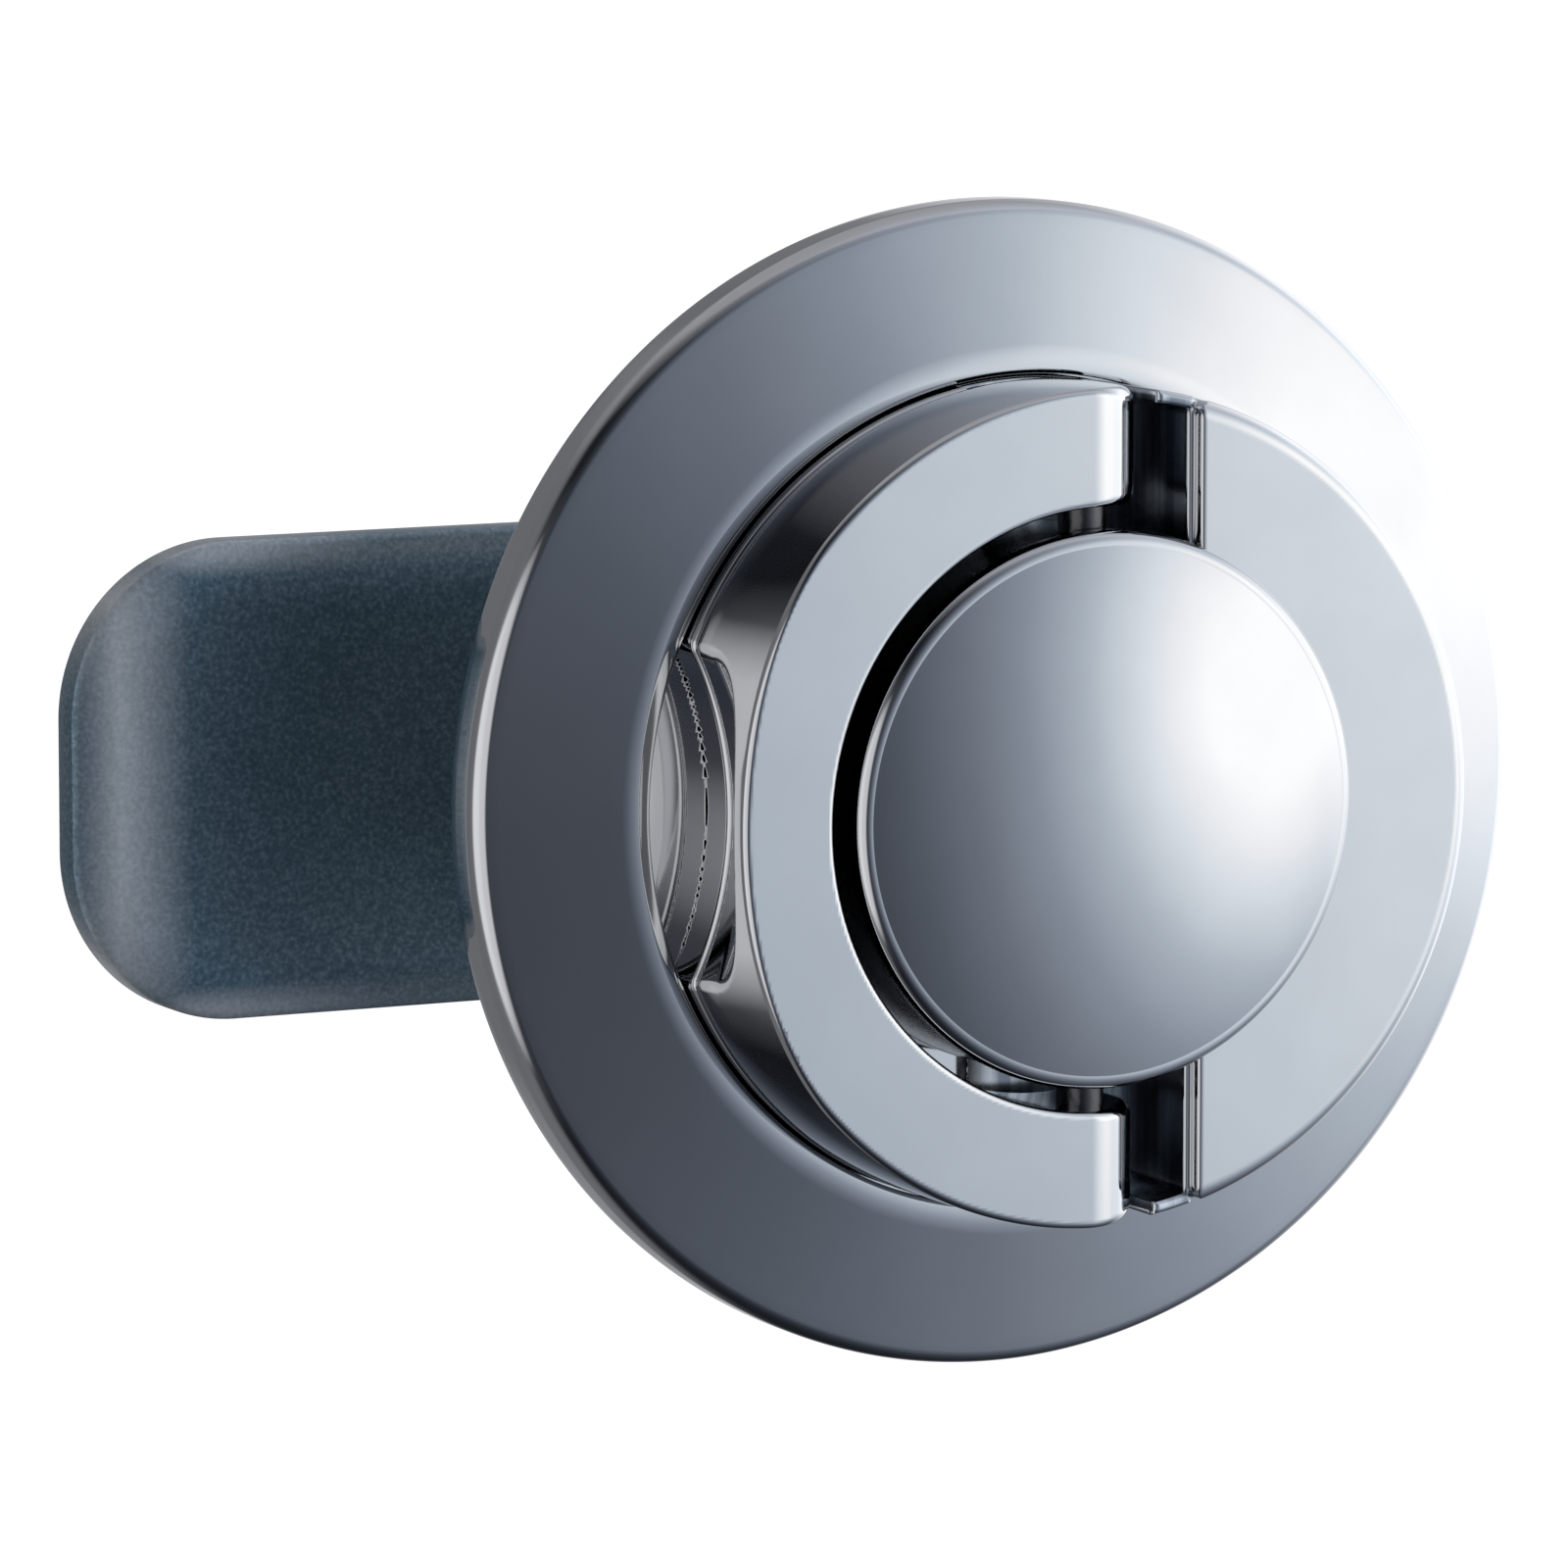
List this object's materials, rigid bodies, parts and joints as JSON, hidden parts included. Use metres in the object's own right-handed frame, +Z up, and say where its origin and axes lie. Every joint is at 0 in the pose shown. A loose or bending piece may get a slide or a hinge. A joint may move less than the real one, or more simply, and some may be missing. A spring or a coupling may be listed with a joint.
{
  "type": "cabinet_lock",
  "caption": "Round chrome cabinet lock with a folding half-ring handle, a central dome, a threaded barrel with clamp nut and a flat steel locking tongue",
  "frame": {"origin": "on the turning axis at the plane of the flange's rear face, where the panel's front lies", "axes": "+Z up, -Y to the front of the panel, +X to the right seen from the front; the tongue rests towards -X"},
  "size_m": [0.0733, 0.0421, 0.06],
  "materials": {
    "chrome": "polished chrome plate on zinc die-casting",
    "zinc_plated": "satin zinc plate",
    "tongue_steel": "satin blue zinc plate, rolled edges",
    "pin_steel": "ground",
    "spring_steel": "oiled",
    "rubber": "matte",
    "glide_plastic": "matte"
  },
  "bodies": {
    "housing": {"bezel_housing": "chrome", "panel_seal": "rubber", "nut_washer": "zinc_plated", "mounting_nut": "zinc_plated", "glide_ring": "glide_plastic"},
    "hub": {"turn_hub": "chrome", "dome_cap": "chrome", "hub_screw": "zinc_plated", "handle_spring_upper": "spring_steel", "handle_spring_lower": "spring_steel", "shaft_o_ring": "rubber", "spindle": "zinc_plated", "thrust_washer": "glide_plastic", "retaining_ring": "spring_steel", "stop_washer": "zinc_plated", "cam_tongue": "tongue_steel", "cam_washer": "zinc_plated", "cam_lock_washer": "spring_steel", "cam_screw": "zinc_plated"},
    "handle": {"ring_handle": "chrome", "hinge_pin_upper": "pin_steel", "hinge_pin_lower": "pin_steel"}
  },
  "joints": [
    {"name": "hub_turn", "type": "hinge", "parent": "housing", "child": "hub", "pos_m": [0, 0, 0], "axis": [0, 1, 0], "range_deg": [0, 90]},
    {"name": "handle_lift", "type": "hinge", "parent": "hub", "child": "handle", "pos_m": [-0.0003, -0.0114, 0], "axis": [0, 0, 1], "range_deg": [0, 90], "stiffness_Nm_per_rad": 0.01}
  ]
}
